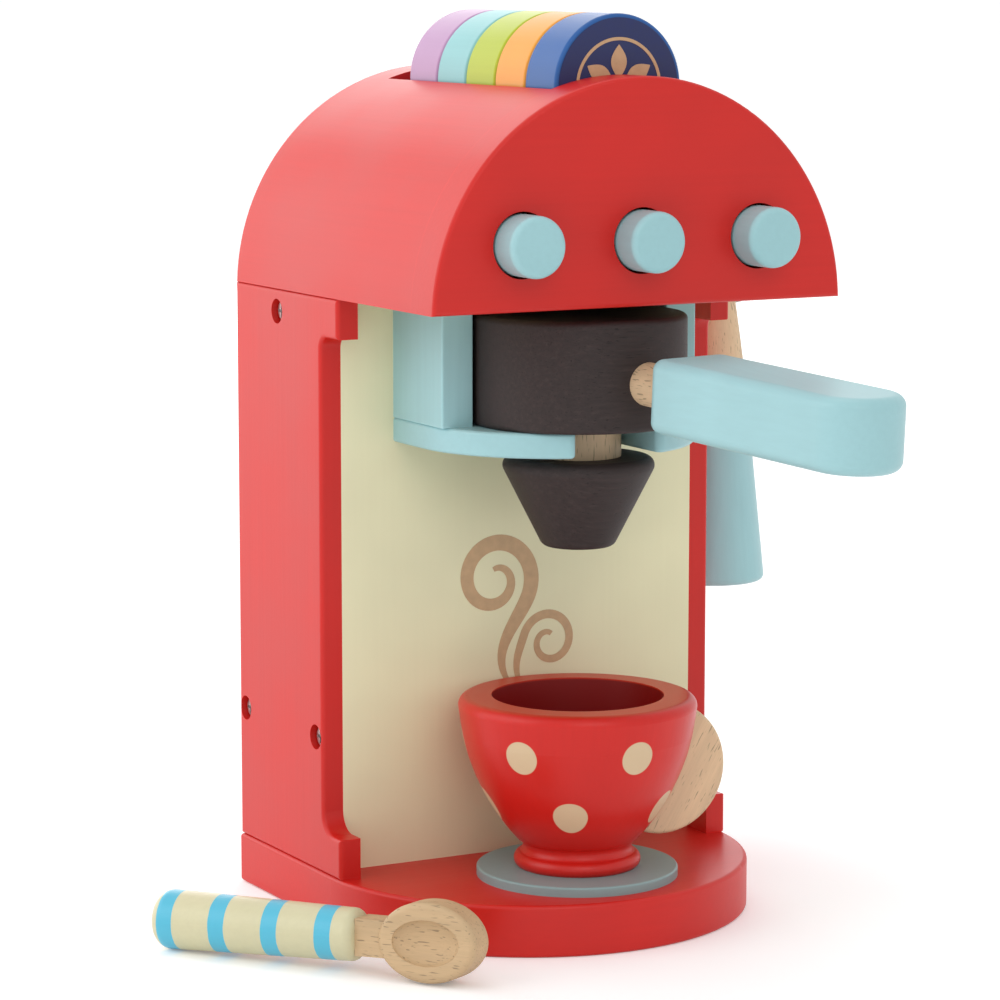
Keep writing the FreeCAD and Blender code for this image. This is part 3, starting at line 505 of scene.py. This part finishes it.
def long_axis(node):
    """Middle of the outer end of a round bar, and the direction of its axis."""
    points = [v.co.copy() for v in nodes[node].data.vertices]
    middle = sum(points, Vector()) / len(points)
    low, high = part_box(node)
    flat = Vector((high.x - low.x, low.y - high.y, 0)).normalized()
    spread = [(p - middle).dot(flat) for p in points]
    first = [p for p, s in zip(points, spread) if s < min(spread) + END_PART]
    last = [p for p, s in zip(points, spread) if s > max(spread) - END_PART]
    ends = []
    for group in (first, last):
        box_low = Vector(tuple(min(p[i] for p in group) for i in range(3)))
        box_high = Vector(tuple(max(p[i] for p in group) for i in range(3)))
        ends.append((box_low + box_high) / 2)
    direction = (ends[1] - ends[0]).normalized()
    reach = min((p - ends[0]).dot(direction) for p in points)
    return ends[0] + direction * reach, direction


spoon_end, spoon_line = long_axis("spoon_handle")


def spoon_stripes(finish, tone):
    """Adds the blue stripes to the spoon handle's paint."""
    offset = finish.vector("SUBTRACT", finish.place, tuple(spoon_end))
    along = finish.vector("DOT_PRODUCT", offset, tuple(spoon_line), "Value")
    brush = finish.noise(finish.place, BRUSH_COUNT)
    uneven = finish.span(brush, 0.0, 1.0, -STRIPE_WAVER, STRIPE_WAVER)
    past_start = finish.number("SUBTRACT", finish.number("ADD", along, uneven), STRIPE_START)
    steps = finish.number("DIVIDE", past_start, STRIPE_PITCH)
    part = finish.number("FRACT", steps)
    stripe = finish.number("LESS_THAN", part, STRIPE_WIDTH / STRIPE_PITCH)
    inside = finish.number("GREATER_THAN", steps, 0.0)
    return finish.mix(finish.number("MULTIPLY", stripe, inside), tone, SKY)


SPOON_TURN = (0, 0, -spoon_line.to_2d().angle_signed(Vector((1, 0))))
beech_spoon = bare_beech("bare beech of the spoon", "X", SPOON_TURN, SPOON_BEECH)
spoon_paint = satin_paint("cream paint of the spoon with stripes", IVORY, "X",
                          printed=spoon_stripes, gloss=0.34)
print("spoon handle points along", [round(part, 3) for part in spoon_line])

# %% [markdown]
# ## Dressing the frame
# The solids already have the right shape, so each keeps its mesh and only
# gets a finish. The list reads like a painter's list: finish, then pieces.

# %% Dress the frame
PAINTER_LIST = (
    (red_upright, ("side_board_left", "side_board_right", "back_board")),
    (red_across, ("base_plate", "hood_front", "hood_back")),
    (red_deep, ("hood_arch",)),
    (tray_shade_red, ("pod_tray",)),
    (cream_paint, ("front_board",)),
    (aqua_upright, ("guide_block_left", "guide_block_right", "wand_bell")),
    (aqua_across, ("fork_plate",)),
    (coaster_paint, ("coaster",)),
    (aqua_deep, ("filter_handle", "button_left", "button_centre", "button_right")),
    (stained, ("filter_drum", "spout_cone")),
    (beech_upright, ("stem_dowel", "wand_neck")),
    (beech_deep, ("handle_peg", "wand_boss")),
    (beech_spoon, ("spoon_bowl",)),
    (beech_slanted, ("cup_grip",)),
    (pine_hidden, ("cross_board", "hood_floor", "button_rail")),
    (cup_paint, ("cup_bowl",)),
    (spoon_paint, ("spoon_handle",)),
    (steel, ("side_screws", "base_screws", "hood_screws", "wand_pin",
             "spring_left", "spring_centre", "spring_right")),
)


def dress(node, material):
    """Gives a solid of the frame one finish all over."""
    slots = nodes[node].material_slots
    if not slots:
        nodes[node].data.materials.append(material)
    for slot in slots:
        slot.material = material


for material, names in PAINTER_LIST:
    for name in names:
        dress(name, material)
for name, material in pod_paints.items():
    dress("pod_" + name, material)
print("dressed:", sum(len(names) for _, names in PAINTER_LIST) + len(pod_paints))

# %% [markdown]
# ## Print that lies on paint
# A printed ornament is a film of ink a tenth of a millimetre thick. It is
# made as a thin plate that follows an outline, so its edge catches light
# just as little as ink does.

# %% Ink and thin plates
INK = 0.12 * MM
INK_MOTTLE_COUNT = 420.0
SAME_POINT = 0.001 * MM


def ink(name, colour):
    """Matt printed ink with a faint mottle."""
    finish = Finish(name)
    mottle = finish.noise(finish.place, INK_MOTTLE_COUNT)
    tone = finish.ramp(mottle, [(0.3, scaled(colour, 0.92)), (0.7, scaled(colour, 1.06))])
    matt = finish.span(mottle, 0.2, 0.8, 0.44, 0.56)
    return finish.finished(tone, matt, finish.bump(mottle, FINE_MARK, 0.3))


tan_ink = ink("tan print", TAN_PRINT)
navy_ink = ink("navy print", NAVY)


def band_patches(edges):
    """Four-sided patches between two lines that are given as pairs of points."""
    return [(a[0], a[1], b[1], b[0]) for a, b in zip(edges, edges[1:])]


def thin_plate(name, patches, face_y, material, body):
    """Ink film on a face that looks to the front, from four-sided (x, z) patches."""
    mesh = bmesh.new()
    for patch in patches:
        corners = [mesh.verts.new((x, face_y - INK, z)) for x, z in patch]
        mesh.faces.new(corners)
    bmesh.ops.remove_doubles(mesh, verts=mesh.verts, dist=SAME_POINT)
    bmesh.ops.recalc_face_normals(mesh, faces=mesh.faces)
    rims = [e for e in mesh.edges if e.is_boundary]
    walls = bmesh.ops.extrude_edge_only(mesh, edges=rims)["geom"]
    for corner in (item for item in walls if isinstance(item, bmesh.types.BMVert)):
        corner.co.y = face_y + INK / 4
    bmesh.ops.recalc_face_normals(mesh, faces=mesh.faces)
    data = bpy.data.meshes.new(name)
    mesh.to_mesh(data)
    mesh.free()
    data.materials.append(material)
    piece = bpy.data.objects.new(name, data)
    bpy.context.scene.collection.objects.link(piece)
    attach(piece, body)


print("ink film", INK / MM, "mm thick")

# %% [markdown]
# ## Steam curls on the column
# Steam is drawn as a stem that bends into a spiral, broad in its lower half
# and fine at the end. The stem is a smooth curve that leaves the foot upward
# and meets the spiral in its own direction, so the line has no corner.

# %% Steam curls
board_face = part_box("front_board")[0].y
STEM_STEPS = 24
SPIRAL_STEPS = 72
# Above 1 the spiral keeps its radius longer and then winds in faster
WINDING = 1.2
FINE_END = 1.5 * MM
BROADEST_AT = 0.25


def spiral_point(centre, radius, angle):
    """Point at a radius and an angle round a centre."""
    return Vector((centre[0] + radius * cos(angle), centre[1] + radius * sin(angle)))


def curl_line(foot, rise, centre, start, sweep, outer, inner):
    """Middle line of a curl: a bent stem and then a spiral that winds inwards.

    rise holds how strongly the stem sets off sideways and up, and how strongly
    it arrives at the spiral.
    """

    def on_spiral(share):
        radius = outer + (inner - outer) * share ** WINDING
        return spiral_point(centre, radius, start + sweep * share)

    join = on_spiral(0.0)
    away = (on_spiral(0.01) - join).normalized() * rise[2]
    up = Vector((rise[0], rise[1]))
    stem = []
    for step in range(STEM_STEPS):
        t = step / STEM_STEPS
        stem.append(foot * (2 * t ** 3 - 3 * t ** 2 + 1) + up * (t ** 3 - 2 * t ** 2 + t)
                    + join * (3 * t ** 2 - 2 * t ** 3) + away * (t ** 3 - t ** 2))
    return stem + [on_spiral(step / SPIRAL_STEPS) for step in range(SPIRAL_STEPS + 1)]


def curl_ribbon(points, broad):
    """Patches of a ribbon whose width swells and then thins out along a line."""
    last = len(points) - 1
    edges = []
    for i, point in enumerate(points):
        before, after = points[max(i - 1, 0)], points[min(i + 1, last)]
        side = Vector((before.y - after.y, after.x - before.x)).normalized()
        share = i / last
        swell = min(share / BROADEST_AT, (1 - share) / (1 - BROADEST_AT))
        half = (FINE_END + (broad - FINE_END) * sin(swell * pi / 2)) / 2
        edges.append((point + side * half, point - side * half))
    return band_patches(edges)


big_line = curl_line(foot=Vector((-4.0, 66.0)) * MM, rise=(-22 * MM, 34 * MM, 26 * MM),
                     centre=(-8.4 * MM, 96.8 * MM), start=radians(-12), sweep=radians(470),
                     outer=12.4 * MM, inner=3.0 * MM)
small_line = curl_line(foot=Vector((-0.4, 66.0)) * MM, rise=(-5 * MM, 16 * MM, 16 * MM),
                       centre=(9.9 * MM, 77.0 * MM), start=radians(165), sweep=radians(-455),
                       outer=8.8 * MM, inner=2.2 * MM)
for name, points, broad in (("steam_curl_big", big_line, 4.9 * MM),
                            ("steam_curl_small", small_line, 2.7 * MM)):
    thin_plate(name, curl_ribbon(points, broad), board_face, tan_ink, "machine")
print("curls drawn with", len(big_line), "points each")

# %% [markdown]
# ## Badge on the front capsule
# The front capsule's face is navy with a thin ring round a plain rosette. The
# ring and the petals are worked out with sine and cosine, like any rosette.

# %% Capsule badge
pod_low, pod_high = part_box("pod_blue")
pod_face = pod_low.y
pod_middle = ((pod_low.x + pod_high.x) / 2, (pod_low.z + pod_high.z) / 2)
FIELD_RADIUS = 19.0 * MM
FIELD_EYE = 0.2 * MM
RING_RADIUS = 13.6 * MM
RING_WIDTH = 0.9 * MM
RING_STEPS = 72
PETALS = 6
PETAL_START = 2.0 * MM
PETAL_END = 11.6 * MM
PETAL_HALF_WIDTH = 2.5 * MM
PETAL_STEPS = 12
# A petal's tip is cut off here, so that no patch shrinks to nothing
PETAL_TIP = 0.01


def ring_patches(inner, outer):
    """Patches of a flat ring round the capsule's middle."""
    patches = []
    for step in range(RING_STEPS):
        a, b = (2 * pi * (step + i) / RING_STEPS for i in (0, 1))
        patches.append([spiral_point(pod_middle, radius, angle) for radius, angle in
                        ((inner, a), (outer, a), (outer, b), (inner, b))])
    return patches


def petal_patches(turn):
    """Patches of one pointed petal that lies along a direction."""
    line = Vector((cos(turn), sin(turn)))
    side = Vector((-line.y, line.x))
    centre = Vector(pod_middle)
    rows = []
    for step in range(PETAL_STEPS + 1):
        share = PETAL_TIP + (1 - 2 * PETAL_TIP) * step / PETAL_STEPS
        half = PETAL_HALF_WIDTH * sin(pi * share)
        middle = centre + line * (PETAL_START + (PETAL_END - PETAL_START) * share)
        rows.append((middle + side * half, middle - side * half))
    return band_patches(rows)


thin_plate("badge_field", ring_patches(FIELD_EYE, FIELD_RADIUS), pod_face, navy_ink,
           "pod_blue")
thin_plate("badge_ring", ring_patches(RING_RADIUS - RING_WIDTH, RING_RADIUS), pod_face - INK,
           tan_ink, "pod_blue")
petal_turns = [pi / PETALS + step * 2 * pi / PETALS for step in range(PETALS)]
petals = [patch for turn in petal_turns for patch in petal_patches(turn)]
thin_plate("badge_rosette", petals, pod_face - INK, tan_ink, "pod_blue")
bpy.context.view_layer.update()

# %% [markdown]
# ## Floor, light and camera
# The photograph is a product shot: a white table and soft light from
# everywhere, a little more of it from the left. A white world does most of it.
# The floor is a matt white sheet that keeps the shadow under the toy. It could
# be made whiter with stronger lamps, but they would bleach the paint, so the
# camera alone sees it lifted a little, more so far away where no lamp reaches.

# %% Floor
FLOOR_HALF = 30.0
WHITE = (1.0, 1.0, 1.0, 1.0)
FLOOR_WHITE = (0.98, 0.98, 0.98, 1.0)
FLOOR_MOTTLE_COUNT = 3.0
# Distances from the toy, and the light that the floor gives off there
NEAR_FLOOR = 0.5
FAR_FLOOR = 2.5
FLOOR_LIFT = 0.17
FAR_FLOOR_LIFT = 0.30


def make_floor():
    """Wide matt sheet under the toy."""
    mesh = bmesh.new()
    corners = [mesh.verts.new((x * FLOOR_HALF, y * FLOOR_HALF, 0)) for x, y in
               ((-1, -1), (1, -1), (1, 1), (-1, 1))]
    mesh.faces.new(corners)
    data = bpy.data.meshes.new("floor")
    mesh.to_mesh(data)
    mesh.free()
    finish = Finish("white table")
    mottle = finish.noise(finish.place, FLOOR_MOTTLE_COUNT)
    tone = finish.ramp(mottle, [(0.3, scaled(FLOOR_WHITE, 0.98)), (0.7, FLOOR_WHITE)])
    finish.feed(finish.shader.inputs["Base Color"], tone)
    finish.feed(finish.shader.inputs["Roughness"], 0.9)
    finish.feed(finish.shader.inputs["Specular IOR Level"], 0.1)
    ray = finish.add("ShaderNodeLightPath").outputs
    seen = finish.number("MAXIMUM", ray["Is Camera Ray"], ray["Is Glossy Ray"])
    finish.feed(finish.shader.inputs["Emission Color"], WHITE)
    away = finish.vector("LENGTH", finish.place, (0, 0, 0), "Value")
    lift = finish.span(away, NEAR_FLOOR, FAR_FLOOR, FLOOR_LIFT, FAR_FLOOR_LIFT)
    finish.feed(finish.shader.inputs["Emission Strength"], finish.number("MULTIPLY", seen, lift))
    data.materials.append(finish.material)
    floor = bpy.data.objects.new("floor", data)
    bpy.context.scene.collection.objects.link(floor)


make_floor()
print("floor is", 2 * FLOOR_HALF, "m wide")

# %% Light
WORLD_LIGHT = 0.74
# Each lamp: name, place in metres, side of its square, watts
SOFTBOXES = (
    ("softbox left", (-1.5, 0.2, 0.9), 1.2, 6.6),
    ("softbox front", (-0.5, -1.9, 1.3), 1.2, 6.0),
    ("softbox behind", (0.5, 1.8, 0.7), 1.4, 10.0),
    ("softbox left behind", (-1.0, 1.5, 0.6), 1.2, 6.5),
    ("softbox above", (0.0, 0.3, 2.2), 1.2, 6.0),
)


def light_world(strength):
    """White world: seen as white, and softer as a lamp."""
    world = bpy.data.worlds.new("white studio")
    bpy.context.scene.world = world
    world.use_nodes = True
    tree = world.node_tree
    ray = tree.nodes.new("ShaderNodeLightPath")
    seen = tree.nodes.new("ShaderNodeMath")
    seen.operation = "MAXIMUM"
    tree.links.new(ray.outputs["Is Camera Ray"], seen.inputs[0])
    tree.links.new(ray.outputs["Is Glossy Ray"], seen.inputs[1])
    level = tree.nodes.new("ShaderNodeMapRange")
    level.inputs["To Min"].default_value = strength
    level.inputs["To Max"].default_value = 1.0
    tree.links.new(seen.outputs[0], level.inputs["Value"])
    background = tree.nodes["Background"]
    background.inputs["Color"].default_value = WHITE
    tree.links.new(level.outputs[0], background.inputs["Strength"])


def softbox(name, place, size, watts):
    """Square lamp that looks at the middle of the toy."""
    data = bpy.data.lights.new(name, "AREA")
    data.energy = watts
    data.size = size
    lamp = bpy.data.objects.new(name, data)
    aim = (cad_box[0] + cad_box[1]) / 2
    lamp.location = place
    lamp.rotation_euler = (aim - Vector(place)).to_track_quat("-Z", "Y").to_euler()
    bpy.context.scene.collection.objects.link(lamp)


light_world(WORLD_LIGHT)
for box in SOFTBOXES:
    softbox(*box)
print("lamps:", len(SOFTBOXES))

# %% [markdown]
# ## The camera
# The lens is long and stands well back, so the boards stay nearly parallel.
# Its place and heading come from fitting the edges of the toy to the
# photograph, with the toy's sizes in metres.

# %% Camera
CAMERA_PLACE = (-0.52049, -0.94174, 0.27851)
HEADING = radians(28.45)
LOOK_DOWN = radians(8.3436)
CAMERA_ROLL = radians(-0.024)
LENS = 133.65


def make_camera():
    """Long lens on the left of the toy, a little above it."""
    data = bpy.data.cameras.new("camera")
    data.lens = LENS
    data.clip_end = 2 * FLOOR_HALF
    camera = bpy.data.objects.new("camera", data)
    camera.location = CAMERA_PLACE
    camera.rotation_euler = Euler((pi / 2 - LOOK_DOWN, CAMERA_ROLL, -HEADING), "XYZ")
    bpy.context.scene.collection.objects.link(camera)
    bpy.context.scene.camera = camera


make_camera()
bpy.context.scene.view_settings.view_transform = "Standard"
print("lens", LENS, "mm")
